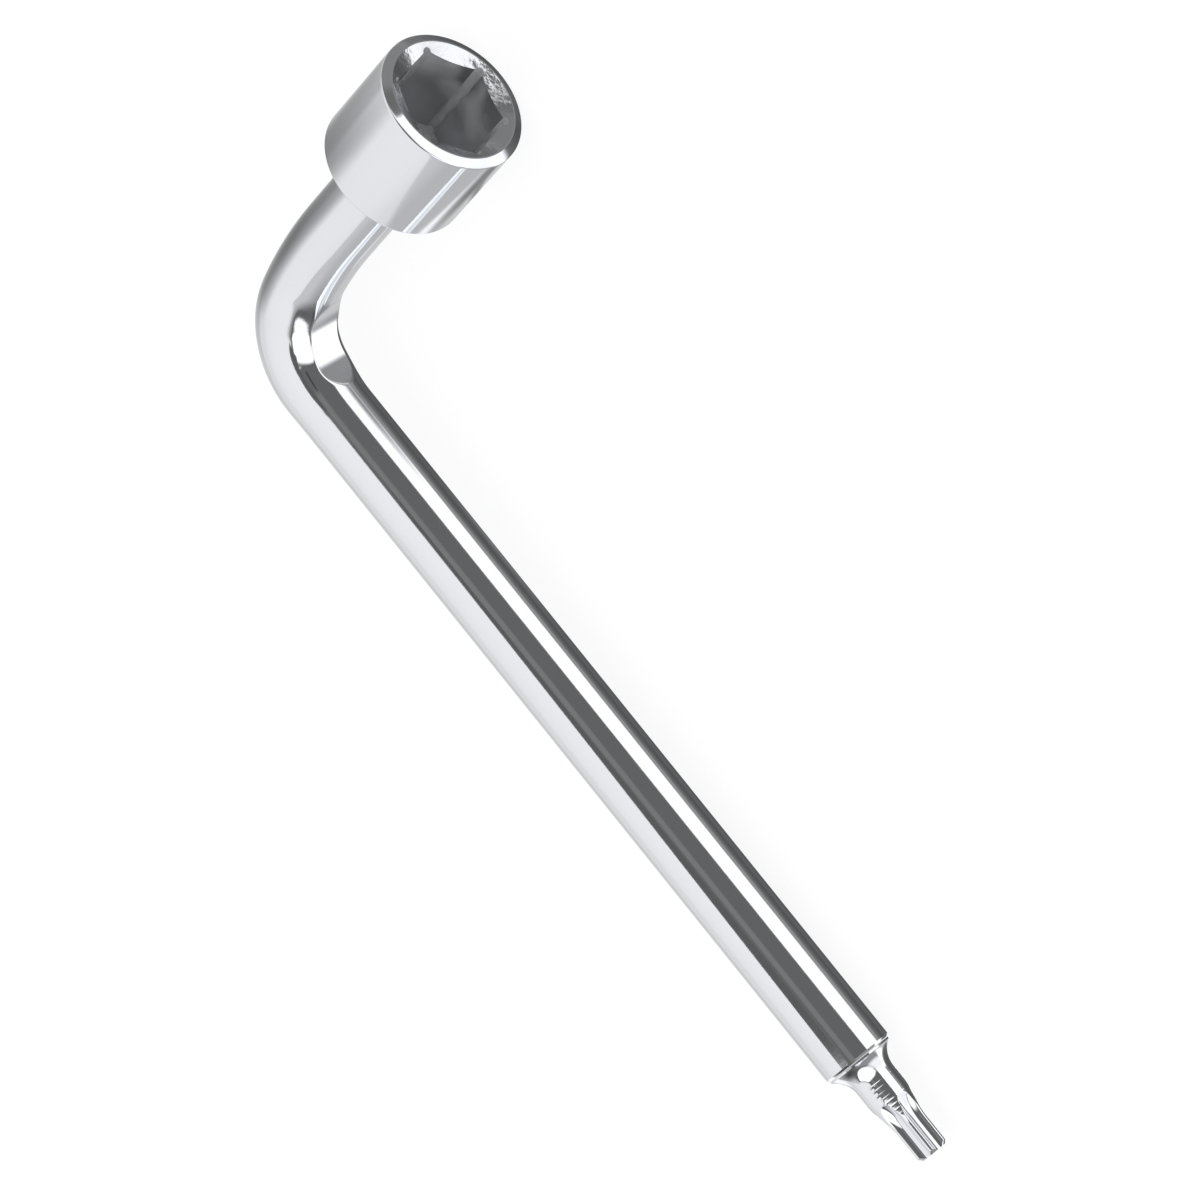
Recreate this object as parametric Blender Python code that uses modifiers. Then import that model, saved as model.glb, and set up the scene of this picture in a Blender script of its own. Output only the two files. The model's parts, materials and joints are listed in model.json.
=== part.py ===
# Saw blade wrench: a round bar bent into an L, a hex socket on its short arm, a six-lobe bit on its long arm.
# Tool axes: X runs along the long arm towards the bit, and Y along the short arm towards the socket's mouth.
# Their origin is the corner where the two arms' centre lines cross. Lengths are in metres.

import math

import bmesh
import bpy
from mathutils import Matrix

MM = 0.001

# Fit between pieces that seat on each other
FIT_GAP = 0.3 * MM

# Bar
BAR_DIAMETER = 10.0 * MM
SHORT_ARM = 36.0 * MM  # corner to the socket's rear face
LONG_ARM = 122.9 * MM  # corner to the bar's end face
BEND_RADIUS = 10.8 * MM  # centre line of the tight bend
LEAD_RADIUS = 63.0 * MM  # centre line of the slow curve between the bend and the short arm
LEAD_ANGLE = math.radians(12.0)
SWELL = 0.36 * MM  # growth of the section's radius in the bend, all of it towards the inside
SWELL_RUN = 5.0 * MM  # length over which the swelling dies away
SWELL_REACH = 3.0 * MM  # how far it runs on past each end of the bend
POST_RADIUS = 6.6 * MM  # bending post that left the flat imprint
POST_SINK = 0.15 * MM  # how far the post bites past the arms' inner lines
BAR_CHAMFER = 0.3 * MM
TENON_FLATS = 7.0 * MM
TANG_FLATS = 5.5 * MM
TANG_LENGTH = 9.0 * MM

# Socket
HEX_FLATS = 13.2 * MM
HEX_DEPTH = 13.4 * MM
HEX_CLOCK = math.radians(12.7)  # turn of the hex's corners from the tool's Z axis
RELIEF_RADIUS = 0.6 * MM  # round groove along each corner of the hex
SOCKET_WALL = 2.26 * MM  # outside the hex's corners
REAR_WALL = 2.3 * MM
MOUTH_MARGIN = 0.9 * MM  # countersink's edge outside the hex's corners
MOUTH_SLOPE = math.radians(27.0)
RIM_FLAT = 0.2 * MM  # level ring round the countersink
RIM_DROP = 0.52 * MM  # fall of the sloping rim from that ring to the side
REAR_CHAMFER = 0.25 * MM

# Bit
COLLAR_LAND = 0.25 * MM
FLARE_RADIUS = 3.6 * MM
NECK_DIAMETER = 5.96 * MM
NECK_LENGTH = 2.45 * MM  # straight stretch between the flare and the taper
TAPER_LENGTH = 5.2 * MM  # from the neck down to the lobes' crests
CREST_LENGTH = 4.2 * MM  # crests of even height, up to the tip
CREST_DIAMETER = 4.98 * MM  # over the lobes
LOBE_HEIGHT = 0.7 * MM  # from the flutes' floors to the crests
LOBE_RADIUS = 0.39 * MM  # of the standard section's lobes, which sets the flutes' radius
TIP_CHAMFER = 0.55 * MM
FLUTE_LENGTH = 4.2 * MM  # flutes of full depth, from the tip
RUNOUT_RADIUS = 9.4 * MM  # arc on which the flute cutter lifts out
RUNOUT_SWEEP = math.radians(54.0)  # far enough round that arc for the cutter to clear the neck
LOBES = 6
LOBE_CLOCK = math.radians(43.0)  # turn of one lobe from the tool's Y axis

# Facets and cutters
BAR_SIDES = 40
SOCKET_SIDES = 64
BIT_SIDES = 72
POST_SIDES = 128
FLUTE_SIDES = 24
RELIEF_SIDES = 12
ARC_STEP = math.radians(6.0)
RUN_IN_STEPS = 8
LEAD_STEPS = 12
CREASE = math.radians(35.0)
WELD = 0.001 * MM
OVERCUT = 1.0 * MM  # how far a cutter runs past the face it opens, and a joined shape into its piece

bar_radius = BAR_DIAMETER / 2
hex_corner = HEX_FLATS / math.sqrt(3)
socket_radius = hex_corner + SOCKET_WALL
socket_length = HEX_DEPTH + REAR_WALL
mouth_radius = hex_corner + MOUTH_MARGIN
mouth_y = SHORT_ARM + socket_length
neck_radius = NECK_DIAMETER / 2
crest_radius = CREST_DIAMETER / 2
tip_radius = crest_radius - TIP_CHAMFER
collar_radius = bar_radius - BAR_CHAMFER
flare_rise = FLARE_RADIUS - (collar_radius - neck_radius)
flare_run = math.sqrt(FLARE_RADIUS**2 - flare_rise**2)
taper_start = COLLAR_LAND + flare_run + NECK_LENGTH
bit_length = taper_start + TAPER_LENGTH + CREST_LENGTH
collar_x = LONG_ARM + FIT_GAP
tip_x = collar_x + bit_length

parts = bpy.data.collections.new("saw_blade_wrench")
cutters = bpy.data.collections.new("saw_blade_wrench_cutters")


def clear_scene():
    for obj in list(bpy.data.objects):
        bpy.data.objects.remove(obj, do_unlink=True)
    for collection in (parts, cutters):
        bpy.context.scene.collection.children.link(collection)


def chrome(name, colour, roughness):
    material = bpy.data.materials.new(name)
    material.use_nodes = True
    shader = material.node_tree.nodes["Principled BSDF"]
    shader.inputs["Base Color"].default_value = (*colour, 1.0)
    shader.inputs["Metallic"].default_value = 1.0
    shader.inputs["Roughness"].default_value = roughness
    return material


def mesh_object(name, bm, collection):
    mesh = bpy.data.meshes.new(name)
    bm.to_mesh(mesh)
    bm.free()
    obj = bpy.data.objects.new(name, mesh)
    collection.objects.link(obj)
    if collection is cutters:
        obj.hide_render = True
        obj.display_type = "WIRE"
    return obj


def arc(centre, radius, start, end):
    steps = max(2, math.ceil(abs(end - start) / ARC_STEP))
    angles = [start + (end - start) * i / steps for i in range(steps + 1)]
    return [(centre[0] + radius * math.cos(a), centre[1] + radius * math.sin(a)) for a in angles]


def prism(name, radius, sides, start, length, turn, placing):
    # Straight prism or cylinder, start to start + length along the placing's Z axis
    bm = bmesh.new()
    bmesh.ops.create_cone(
        bm, cap_ends=True, segments=sides, radius1=radius, radius2=radius, depth=length
    )
    shift = Matrix.Translation((0, 0, start + length / 2))
    corner_on_x = Matrix.Rotation(turn - math.pi / 2, 4, "Z")
    bmesh.ops.transform(bm, matrix=placing @ shift @ corner_on_x, verts=bm.verts)
    return mesh_object(name, bm, cutters)


def hex_prism(name, flats, start, length, turn, placing):
    return prism(name, flats / math.sqrt(3), 6, start, length, turn, placing)


def turned(name, profile, sides, collection):
    # Profile of (radius, height) pairs from the axis at the top round to the axis at the bottom
    bm = bmesh.new()
    verts = [bm.verts.new((radius, 0, height)) for radius, height in profile]
    for first, second in zip(verts, verts[1:]):
        bm.edges.new((first, second))
    obj = mesh_object(name, bm, collection)
    screw = obj.modifiers.new("turn", "SCREW")
    screw.steps = sides
    screw.render_steps = sides
    screw.use_merge_vertices = True
    screw.merge_threshold = WELD
    return obj


def tube(name, points, radii, sides, collection):
    # Round tube along the points as a closed mesh, with a radius of its own at each point
    curve = bpy.data.curves.new(name, "CURVE")
    curve.dimensions = "3D"
    curve.bevel_depth = 1.0
    curve.bevel_resolution = (sides - 4) // 2
    curve.use_fill_caps = True
    spline = curve.splines.new("POLY")
    spline.points.add(len(points) - 1)
    for target, point, radius in zip(spline.points, points, radii):
        target.co = (*point, 1.0)
        target.radius = radius
    guide = bpy.data.objects.new(name + "_guide", curve)
    cutters.objects.link(guide)
    bpy.context.view_layer.update()
    graph = bpy.context.evaluated_depsgraph_get()
    mesh = bpy.data.meshes.new_from_object(guide.evaluated_get(graph))
    bpy.data.objects.remove(guide, do_unlink=True)
    bm = bmesh.new()
    bm.from_mesh(mesh)
    bpy.data.meshes.remove(mesh)
    bmesh.ops.remove_doubles(bm, verts=bm.verts, dist=WELD)
    bmesh.ops.recalc_face_normals(bm, faces=bm.faces)
    return mesh_object(name, bm, collection)


def boolean(obj, cutter, operation):
    # The cutter is drawn on the axes of the piece that it cuts, and moves with that piece
    cutter.parent = obj
    modifier = obj.modifiers.new(cutter.name, "BOOLEAN")
    modifier.operation = operation
    modifier.object = cutter
    modifier.solver = "EXACT"


def finish(obj, material, parent):
    obj.data.materials.append(material)
    obj.data.shade_smooth()
    obj.data.set_sharp_from_angle(angle=CREASE)
    obj.parent = parent


def rest_empty():
    # The tool lies on the socket's side and on the edge of the bar's end, which tips the long arm down
    contact = LONG_ARM - BAR_CHAMFER
    span = math.hypot(contact, bar_radius)
    tilt = math.asin(socket_radius / span) - math.atan2(bar_radius, contact)
    reach = tip_x * math.cos(tilt) + tip_radius * math.sin(tilt)
    empty = bpy.data.objects.new("rest_pose", None)
    empty.rotation_euler = (0.0, tilt, 0.0)
    empty.location = ((socket_radius - reach) / 2, (bar_radius - mouth_y) / 2, socket_radius)
    parts.objects.link(empty)
    return empty


def swelling(distance, half_bend):
    # Full growth along the bend, then a smooth fall to nothing past its end
    left = (half_bend + SWELL_REACH - abs(distance)) / SWELL_RUN
    left = min(1.0, max(0.0, left))
    return SWELL * left * left * (3 - 2 * left)


def bar_path():
    # Centre line from the bit to the socket, and its radii: straight, tight bend, slow curve, straight
    bend_angle = math.pi / 2 - LEAD_ANGLE
    bend_x = BEND_RADIUS * math.sin(bend_angle) + LEAD_RADIUS * (1 - math.sin(bend_angle))
    half_bend = BEND_RADIUS * bend_angle / 2
    stations = []
    for i in range(RUN_IN_STEPS):
        stations.append((half_bend + SWELL_REACH * (RUN_IN_STEPS - i) / RUN_IN_STEPS, 0.0))
    bend_steps = math.ceil(bend_angle / ARC_STEP)
    for i in range(bend_steps + 1):
        angle = bend_angle * i / bend_steps
        stations.append((half_bend - BEND_RADIUS * angle, angle))
    for i in range(1, LEAD_STEPS + 1):
        angle = LEAD_ANGLE * i / LEAD_STEPS
        stations.append((-half_bend - LEAD_RADIUS * angle, bend_angle + angle))
    points = [(LONG_ARM, 0.0), (LONG_ARM - BAR_CHAMFER, 0.0)]
    radii = [bar_radius - BAR_CHAMFER, bar_radius]
    for distance, angle in stations:
        tight = min(angle, bend_angle)
        slow = max(angle, bend_angle)
        x = bend_x - BEND_RADIUS * math.sin(tight) - LEAD_RADIUS * (math.sin(slow) - math.sin(bend_angle))
        x += max(0.0, distance - half_bend)
        y = BEND_RADIUS * (1 - math.cos(tight)) + LEAD_RADIUS * (math.cos(bend_angle) - math.cos(slow))
        growth = swelling(distance, half_bend)
        points.append((x + growth * math.sin(angle), y + growth * math.cos(angle)))
        radii.append(bar_radius + growth)
    points.append((0.0, SHORT_ARM - FIT_GAP))
    radii.append(bar_radius)
    inner_radius = BEND_RADIUS - bar_radius
    reach = (POST_RADIUS - inner_radius) / math.cos(bend_angle / 2) - POST_SINK
    post = (bend_x + reach * math.sin(bend_angle / 2), BEND_RADIUS + reach * math.cos(bend_angle / 2))
    return points, radii, post


def along_y():
    # Z axis of a piece laid on the short arm, its X axis on the tool's Z
    return Matrix(((0, 1, 0, 0), (0, 0, 1, 0), (1, 0, 0, 0), (0, 0, 0, 1)))


def along_x():
    # Z axis of a piece laid on the long arm, its X axis on the tool's Y
    return Matrix(((0, 0, 1, 0), (1, 0, 0, 0), (0, 1, 0, 0), (0, 0, 0, 1)))


def bent_bar(parent):
    points, radii, post = bar_path()
    bar = tube("bent_bar", [(x, y, 0.0) for x, y in points], radii, BAR_SIDES, parts)
    post_length = BAR_DIAMETER + 2 * (SWELL + OVERCUT)
    post_place = Matrix.Translation((*post, 0.0))
    imprint = prism("imprint", POST_RADIUS, POST_SIDES, -post_length / 2, post_length, 0.0, post_place)
    boolean(bar, imprint, "DIFFERENCE")
    tenon_start = SHORT_ARM - FIT_GAP - OVERCUT
    tenon = hex_prism("tenon", TENON_FLATS, tenon_start, OVERCUT + REAR_WALL, HEX_CLOCK, along_y())
    boolean(bar, tenon, "UNION")
    hole_flats = TANG_FLATS + 2 * FIT_GAP
    hole_start = LONG_ARM - TANG_LENGTH
    hole = hex_prism("tang_hole", hole_flats, hole_start, TANG_LENGTH + OVERCUT, LOBE_CLOCK, along_x())
    boolean(bar, hole, "DIFFERENCE")
    finish(bar, chrome("bar_chrome", (0.80, 0.81, 0.83), 0.08), parent)


def hex_socket(parent):
    profile = [(0.0, socket_length), (mouth_radius + RIM_FLAT, socket_length)]
    profile += [(socket_radius, socket_length - RIM_DROP), (socket_radius, REAR_CHAMFER)]
    profile += [(socket_radius - REAR_CHAMFER, 0.0), (0.0, 0.0)]
    socket = turned("hex_socket", profile, SOCKET_SIDES, parts)
    upright = Matrix.Identity(4)
    hex_length = HEX_DEPTH + OVERCUT
    recess = hex_prism("hex_recess", HEX_FLATS, REAR_WALL, hex_length, HEX_CLOCK, upright)
    boolean(socket, recess, "DIFFERENCE")
    for i in range(6):
        turn = HEX_CLOCK + i * math.pi / 3
        groove_centre = hex_corner - RELIEF_RADIUS / 2
        place = Matrix.Rotation(turn, 4, "Z") @ Matrix.Translation((groove_centre, 0.0, 0.0))
        groove = prism(f"relief_{i}", RELIEF_RADIUS, RELIEF_SIDES, REAR_WALL, hex_length, 0.0, place)
        boolean(socket, groove, "DIFFERENCE")
    boolean(socket, countersink(), "DIFFERENCE")
    hole_flats = TENON_FLATS + 2 * FIT_GAP
    hole = hex_prism("tenon_hole", hole_flats, -OVERCUT, REAR_WALL + 2 * OVERCUT, HEX_CLOCK, upright)
    boolean(socket, hole, "DIFFERENCE")
    finish(socket, chrome("socket_chrome", (0.79, 0.80, 0.82), 0.10), parent)
    socket.matrix_local = Matrix.Translation((0.0, SHORT_ARM, 0.0)) @ along_y()


def countersink():
    # Cone that opens the hex at the mouth, carried on above the rim
    slope = math.tan(MOUTH_SLOPE)
    depth = mouth_radius * slope
    bm = bmesh.new()
    top_radius = mouth_radius + OVERCUT / slope
    bmesh.ops.create_cone(
        bm, cap_ends=True, segments=SOCKET_SIDES, radius1=0.0, radius2=top_radius, depth=depth + OVERCUT
    )
    lift = Matrix.Translation((0, 0, socket_length + (OVERCUT - depth) / 2))
    bmesh.ops.transform(bm, matrix=lift, verts=bm.verts)
    return mesh_object("countersink", bm, cutters)


def six_lobe_bit(parent):
    flare_centre = (neck_radius + FLARE_RADIUS, COLLAR_LAND + flare_run)
    flare_end = math.pi + math.atan2(flare_run, flare_rise)
    profile = [(0.0, bit_length), (tip_radius, bit_length), (crest_radius, bit_length - TIP_CHAMFER)]
    profile += [(crest_radius, bit_length - CREST_LENGTH), (neck_radius, taper_start)]
    profile += arc(flare_centre, FLARE_RADIUS, math.pi, flare_end)
    profile += [(collar_radius, 0.0), (0.0, 0.0)]
    bit = turned("six_lobe_bit", profile, BIT_SIDES, parts)
    for i in range(LOBES):
        boolean(bit, flute(i), "DIFFERENCE")
    tang = hex_prism("tang", TANG_FLATS, -TANG_LENGTH, TANG_LENGTH + OVERCUT, 0.0, Matrix.Identity(4))
    boolean(bit, tang, "UNION")
    finish(bit, chrome("bit_chrome", (0.74, 0.75, 0.77), 0.14), parent)
    clocked = along_x() @ Matrix.Rotation(LOBE_CLOCK, 4, "Z")
    bit.matrix_local = Matrix.Translation((collar_x, 0.0, 0.0)) @ clocked


def flute(index):
    # Round cutter that runs in from the tip at full depth and lifts out on an arc.
    # Its radius is the one whose circle touches the two lobes beside it.
    half_gap = math.pi / LOBES
    lobe_centre = crest_radius - LOBE_RADIUS
    floor = crest_radius - LOBE_HEIGHT
    pull = lobe_centre * math.cos(half_gap)
    span = lobe_centre**2 + floor**2 - 2 * pull * floor - LOBE_RADIUS**2
    radius = span / (2 * (pull + LOBE_RADIUS - floor))
    lift_centre = (floor + radius + RUNOUT_RADIUS, bit_length - FLUTE_LENGTH)
    path = [(floor + radius, bit_length + OVERCUT)]
    path += arc(lift_centre, RUNOUT_RADIUS, math.pi, math.pi + RUNOUT_SWEEP)
    turn = (2 * index + 1) * half_gap
    points = [(out * math.cos(turn), out * math.sin(turn), height) for out, height in path]
    return tube(f"flute_{index}", points, [radius] * len(points), FLUTE_SIDES, cutters)


def main():
    clear_scene()
    parent = rest_empty()
    bent_bar(parent)
    hex_socket(parent)
    six_lobe_bit(parent)


main()
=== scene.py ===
import json
import math

import bmesh
import bpy
from mathutils import Matrix, Vector


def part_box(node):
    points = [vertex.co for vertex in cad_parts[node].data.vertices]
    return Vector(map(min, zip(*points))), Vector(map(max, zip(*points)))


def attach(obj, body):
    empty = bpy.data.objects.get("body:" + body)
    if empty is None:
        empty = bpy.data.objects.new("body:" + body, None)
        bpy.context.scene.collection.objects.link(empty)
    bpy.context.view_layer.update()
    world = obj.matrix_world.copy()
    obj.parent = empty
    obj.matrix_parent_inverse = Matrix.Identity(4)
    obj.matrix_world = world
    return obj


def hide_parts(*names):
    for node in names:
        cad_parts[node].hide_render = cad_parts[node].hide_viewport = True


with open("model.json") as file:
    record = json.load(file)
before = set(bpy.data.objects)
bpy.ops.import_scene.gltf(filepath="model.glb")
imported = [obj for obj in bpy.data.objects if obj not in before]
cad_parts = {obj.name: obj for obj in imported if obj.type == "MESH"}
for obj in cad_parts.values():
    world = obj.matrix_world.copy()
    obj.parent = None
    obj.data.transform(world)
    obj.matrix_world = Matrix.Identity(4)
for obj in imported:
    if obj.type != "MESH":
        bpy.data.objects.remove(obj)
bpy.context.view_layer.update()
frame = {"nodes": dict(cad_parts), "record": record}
mm = 0.001
print("frame loaded:", ", ".join(sorted(frame["nodes"])))

# the tool's own axes: x down the long arm, y up the short arm, origin where the two centre lines cross
socketLow, socketHigh = (Vector(corner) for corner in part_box("hex_socket"))
bitLow, bitHigh = (Vector(corner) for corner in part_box("six_lobe_bit"))
mounts = {mount["name"]: mount for mount in frame["record"]["mounts"]}
longArm = Vector(mounts["bit_tip"]["axis"])
tilt = math.atan2(-longArm.z, longArm.x)
socketMiddle = (socketLow + socketHigh) / 2
elbow = Vector((socketMiddle.x, (bitLow.y + bitHigh.y) / 2, socketMiddle.z))
toolToRow = Matrix.Translation(elbow) @ Matrix.Rotation(tilt, 4, "Y")
rowToTool = toolToRow.inverted()
bitTip = rowToTool @ Vector(mounts["bit_tip"]["pos_m"])


# small helpers

def hexColour(code):  # sRGB hex to linear
    parts = [int(code[i:i + 2], 16) / 255 for i in (0, 2, 4)]
    return [p / 12.92 if p <= 0.04045 else ((p + 0.055) / 1.055) ** 2.4 for p in parts] + [1.0]


def addNode(tree, kind, inputs=None, **settings):  # a node with its settings, values and links
    node = tree.nodes.new(kind)
    for name, value in settings.items():
        setattr(node, name, value)
    for key, value in (inputs or {}).items():
        if isinstance(value, bpy.types.NodeSocket):
            tree.links.new(value, node.inputs[key])
        else:
            node.inputs[key].default_value = value
    return node


def addObject(name, data):
    added = bpy.data.objects.new(name, data)
    bpy.context.scene.collection.objects.link(added)
    return added


def meshFrom(bm, name):
    mesh = bpy.data.meshes.new(name)
    bm.to_mesh(mesh)
    bm.free()
    return mesh


def smoothMesh(mesh, creaseDegrees):  # smooth shading, with edges steeper than the crease left sharp
    mesh.shade_smooth()
    mesh.set_sharp_from_angle(angle=math.radians(creaseDegrees))


def lofted(columns, closedRings):  # quads between neighbouring columns, the last joined to the first
    bm = bmesh.new()
    verts = [[bm.verts.new(point) for point in column] for column in columns]
    count = len(columns[0])
    for i, left in enumerate(verts):
        right = verts[(i + 1) % len(verts)]
        for j in range(count if closedRings else count - 1):
            k = (j + 1) % count
            bm.faces.new((left[j], left[k], right[k], right[j]))
    return bm


def newTree(name, sizes):  # a geometry tree with one named float input for each size
    tree = bpy.data.node_groups.new(name, "GeometryNodeTree")
    tree.interface.new_socket("Geometry", in_out="INPUT", socket_type="NodeSocketGeometry")
    tree.interface.new_socket("Geometry", in_out="OUTPUT", socket_type="NodeSocketGeometry")
    for size in sizes:
        tree.interface.new_socket(size, in_out="INPUT", socket_type="NodeSocketFloat")
    tree.interface.new_socket("Material", in_out="INPUT", socket_type="NodeSocketMaterial")
    return tree


def closeTree(tree, geometry, material):
    real = addNode(tree, "GeometryNodeRealizeInstances", {0: geometry}).outputs[0]
    coloured = addNode(tree, "GeometryNodeSetMaterial", {"Geometry": real, "Material": material}).outputs[0]
    addNode(tree, "NodeGroupOutput", {0: coloured})


def bakeTree(source, tree, values, name, creaseDegrees):  # the tree's result as a plain mesh, source removed
    modifier = source.modifiers.new(tree.name, "NODES")
    modifier.node_group = tree
    for item in tree.interface.items_tree:
        if item.in_out == "INPUT" and item.name in values:
            modifier[item.identifier] = values[item.name]
    bpy.context.view_layer.update()
    graph = bpy.context.evaluated_depsgraph_get()
    mesh = bpy.data.meshes.new_from_object(source.evaluated_get(graph))
    bpy.data.objects.remove(source, do_unlink=True)
    samePlace = 0.0001 * mm
    bm = bmesh.new()
    bm.from_mesh(mesh)
    bmesh.ops.remove_doubles(bm, verts=bm.verts, dist=samePlace)
    bmesh.ops.recalc_face_normals(bm, faces=bm.faces)
    bm.to_mesh(mesh)
    bm.free()
    smoothMesh(mesh, creaseDegrees)
    mesh.transform(toolToRow)
    mesh.update()
    return addObject(name, mesh)


# finishes

def newMetal(name, values):  # with its tree, its shader and the Object coordinates for its patterns
    material = bpy.data.materials.new(name)
    material.use_nodes = True
    tree = material.node_tree
    shader = tree.nodes["Principled BSDF"]
    for key, value in values.items():
        shader.inputs[key].default_value = value
    place = addNode(tree, "ShaderNodeTexCoord").outputs["Object"]
    return material, tree, shader, place


def brightChrome():  # bright chrome plate over drawn steel: mirror with a faint ripple and haze
    values = {"Base Color": hexColour("e6e8ec"), "Metallic": 1.0}
    material, tree, shader, place = newMetal("bright_chrome_plate", values)
    haze = addNode(tree, "ShaderNodeTexNoise",
                   {"Vector": place, "Scale": 1 / (4.0 * mm), "Detail": 5.0}).outputs[0]
    rough = addNode(tree, "ShaderNodeMapRange", {"Value": haze, "To Min": 0.03, "To Max": 0.11}).outputs[0]
    ripple = addNode(tree, "ShaderNodeTexNoise",
                     {"Vector": place, "Scale": 1 / (0.6 * mm), "Detail": 2.0}).outputs[0]
    bump = addNode(tree, "ShaderNodeBump",
                   {"Strength": 1.0, "Distance": 0.0015 * mm, "Height": ripple}).outputs[0]
    tree.links.new(rough, shader.inputs["Roughness"])
    tree.links.new(bump, shader.inputs["Normal"])
    return material


def broachedSteel():  # thinly plated broached steel: satin, scored along the hole, milky in patches of uneven plating that also paint a highlight on the recess wall
    values = {"Base Color": hexColour("c0c1c4")}
    material, tree, shader, place = newMetal("broached_steel", values)
    # painted highlight: where the noise drops the metallic, the wall turns milky and shows lighter, set so
    # that a light patch lands on the recess wall
    plating_and_highlight_patches = addNode(tree, "ShaderNodeTexNoise",
                      {"Vector": place, "Scale": 1 / (6.0 * mm), "Detail": 2.0}).outputs[0]
    metal = addNode(tree, "ShaderNodeMapRange",
                    {"Value": plating_and_highlight_patches, "From Min": 0.46, "From Max": 0.66,
                     "To Min": 1.0, "To Max": 0.3}).outputs[0]
    stretched = addNode(tree, "ShaderNodeMapping", {"Vector": place, "Scale": (1.0, 0.06, 1.0)}).outputs[0]
    # coarser than real scores, so that they show
    scores = addNode(tree, "ShaderNodeTexNoise",
                     {"Vector": stretched, "Scale": 1 / (0.35 * mm), "Detail": 3.0}).outputs[0]
    rough = addNode(tree, "ShaderNodeMapRange", {"Value": scores, "To Min": 0.26, "To Max": 0.38}).outputs[0]
    bump = addNode(tree, "ShaderNodeBump",
                   {"Strength": 1.0, "Distance": 0.003 * mm, "Height": scores}).outputs[0]
    tree.links.new(metal, shader.inputs["Metallic"])
    tree.links.new(rough, shader.inputs["Roughness"])
    tree.links.new(bump, shader.inputs["Normal"])
    return material


def dullSteel():  # bare steel where plating hardly reaches: grey, stained and without shine
    values = {"Metallic": 0.4, "Roughness": 0.55}
    material, tree, shader, place = newMetal("bare_dull_steel", values)
    stains = addNode(tree, "ShaderNodeTexNoise",
                     {"Vector": place, "Scale": 1 / (4.0 * mm), "Detail": 3.0}).outputs[0]
    tone = addNode(tree, "ShaderNodeMix",
                   {0: stains, 6: hexColour("acadaf"), 7: hexColour("e8e9ea")}, data_type="RGBA").outputs[2]
    tree.links.new(tone, shader.inputs["Base Color"])
    return material


def dimpledChrome():  # chrome over the rough turned countersink: mirror broken into dimples
    values = {"Base Color": hexColour("dcdee2"), "Metallic": 1.0, "Roughness": 0.14}
    material, tree, shader, place = newMetal("dimpled_chrome_plate", values)
    dimples = addNode(tree, "ShaderNodeTexNoise",
                      {"Vector": place, "Scale": 1 / (0.9 * mm), "Detail": 2.0}).outputs[0]
    bump = addNode(tree, "ShaderNodeBump",
                   {"Strength": 1.0, "Distance": 0.05 * mm, "Height": dimples}).outputs[0]
    tree.links.new(bump, shader.inputs["Normal"])
    return material


chrome = brightChrome()
broached = broachedSteel()
dimpled = dimpledChrome()
dull = dullSteel()


# bent bar

bar = {
    "radius": 5.0 * mm,
    "chamfer": 0.3 * mm,
    "seam": 0.12 * mm,  # left open at the socket and at the bit
    "bendRadius": 10.8 * mm,
    "leadRadius": 63.0 * mm,  # gentler curve between the bend and the short arm
    "leadAngle": math.radians(12.0),
    "ease": 5.0 * mm,  # run over which the curvature comes and goes
    "swell": 0.36 * mm,  # growth of the radius in the bend
    "swellRun": 8.0 * mm,  # run over which it dies away
    "swellReach": 4.5 * mm,  # where it ends, past the bend
    "postRadius": 6.6 * mm,  # bending post, which leaves a flat imprint
    "postSink": 0.15 * mm,  # how far it sank in
    "imprintEdge": 0.10 * mm,  # rounding of the imprint's edge
    "tenonFlats": 7.0 * mm,
    "tenonRoot": 1.0 * mm,  # hidden in the bar
    "tenonReach": 2.0 * mm,  # past the socket's rear face
    "tenonChamfer": 0.25 * mm,
    "sides": 288,
    "bendStep": 0.2 * mm,
    "straightSteps": 40,
    "crease": 30,
}


def smoother(share):  # eased step from 0 to 1 with no kink in its curvature
    share = min(max(share, 0.0), 1.0)
    return share ** 3 * (share * (6 * share - 15) + 10)


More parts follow.
